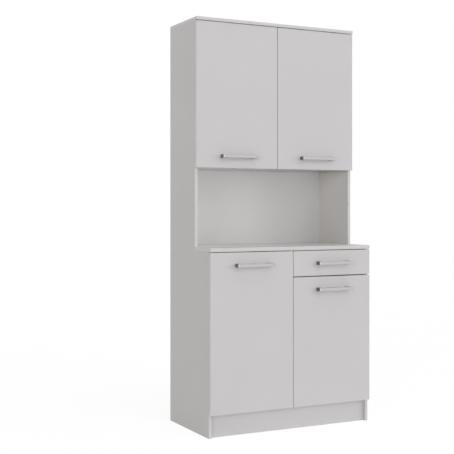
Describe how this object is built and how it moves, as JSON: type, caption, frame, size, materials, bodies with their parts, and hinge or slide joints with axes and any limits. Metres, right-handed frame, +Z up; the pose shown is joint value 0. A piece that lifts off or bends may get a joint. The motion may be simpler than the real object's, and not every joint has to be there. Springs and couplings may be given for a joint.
{
  "type": "kitchen buffet cabinet",
  "caption": "Tall kitchen buffet in light grey laminate: base unit with doors and a drawer, worktop with an open niche, shallower upper unit with doors, chrome bow handles.",
  "frame": {"origin": "on the floor, at the centre of the overall box, handles included", "axes": "+X to the right as seen by someone facing the doors, +Y towards the wall, +Z up"},
  "size_m": [0.85, 0.479, 1.9],
  "materials": {
    "board": "light grey melamine, satin",
    "front": "light grey laminate, satin",
    "hardboard": "painted light grey in front",
    "dowel_wood": "plain",
    "chrome": "polished",
    "steel": "nickel plated",
    "zinc": "zinc plated",
    "runner_paint": "white powder coat",
    "roller_plastic": "smooth",
    "soft_plastic": "translucent soft plastic"
  },
  "bodies": {
    "carcass": {"side_left": "board", "side_right": "board", "top_panel": "board", "upper_floor": "board", "upper_shelf": "board", "worktop": "board", "divider": "board", "bottom_panel": "board", "plinth_front": "board", "plinth_rear": "board", "shelf_left": "board", "shelf_right": "board", "back_upper": "hardboard", "back_niche": "hardboard", "back_base": "hardboard", "shelf_supports": "zinc", "cam_locks": "zinc", "cam_bolts": "steel", "dowels": "dowel_wood", "wall_brackets": "steel", "bumpers": "soft_plastic", "hinge_plates": "steel", "carcass_screws": "steel", "cabinet_runners": "runner_paint", "upper_left_arms": "steel", "upper_right_arms": "steel", "base_left_arms": "steel", "base_right_arms": "steel"},
    "fixed_rollers": {"cabinet_rollers": "roller_plastic"},
    "upper_left_leaf": {"upper_left_door": "front", "upper_left_handle": "chrome", "upper_left_cups": "zinc", "upper_left_pins": "steel", "upper_left_screws": "steel"},
    "upper_right_leaf": {"upper_right_door": "front", "upper_right_handle": "chrome", "upper_right_cups": "zinc", "upper_right_pins": "steel", "upper_right_screws": "steel"},
    "base_left_leaf": {"base_left_door": "front", "base_left_handle": "chrome", "base_left_cups": "zinc", "base_left_pins": "steel", "base_left_screws": "steel"},
    "base_right_leaf": {"base_right_door": "front", "base_right_handle": "chrome", "base_right_cups": "zinc", "base_right_pins": "steel", "base_right_screws": "steel"},
    "drawer": {"drawer_front": "front", "drawer_handle": "chrome", "drawer_side_left": "board", "drawer_side_right": "board", "drawer_back": "board", "drawer_bottom": "hardboard", "drawer_fittings": "steel", "drawer_runners": "runner_paint"},
    "moving_rollers": {"drawer_rollers": "roller_plastic"}
  },
  "joints": [
    {"name": "upper_left_hinge", "type": "hinge", "parent": "carcass", "child": "upper_left_leaf", "pos_m": [-0.41921, -0.0522, 1.54675], "axis": [0, 0, -1], "range_deg": [0, 95]},
    {"name": "upper_right_hinge", "type": "hinge", "parent": "carcass", "child": "upper_right_leaf", "pos_m": [0.41921, -0.0522, 1.54675], "axis": [0, 0, 1], "range_deg": [0, 95]},
    {"name": "base_left_hinge", "type": "hinge", "parent": "carcass", "child": "base_left_leaf", "pos_m": [-0.41921, -0.1992, 0.4645], "axis": [0, 0, -1], "range_deg": [0, 95]},
    {"name": "base_right_hinge", "type": "hinge", "parent": "carcass", "child": "base_right_leaf", "pos_m": [0.41921, -0.1992, 0.4035], "axis": [0, 0, 1], "range_deg": [0, 95]},
    {"name": "drawer_slide", "type": "slide", "parent": "carcass", "child": "drawer", "axis": [0, -1, 0], "range_m": [0, 0.26]},
    {"name": "fixed_roller_spin", "type": "hinge", "parent": "carcass", "child": "fixed_rollers", "pos_m": [0.20875, -0.1745, 0.7327], "axis": [1, 0, 0], "range_deg": [0, 1660]},
    {"name": "moving_roller_spin", "type": "hinge", "parent": "drawer", "child": "moving_rollers", "pos_m": [0.20875, 0.1475, 0.7327], "axis": [1, 0, 0], "range_deg": [0, 1660]}
  ],
  "couplings": [
    {"joint": "fixed_roller_spin", "follows": "drawer_slide", "rad_per_m": 111.11},
    {"joint": "moving_roller_spin", "follows": "drawer_slide", "rad_per_m": 111.11}
  ]
}
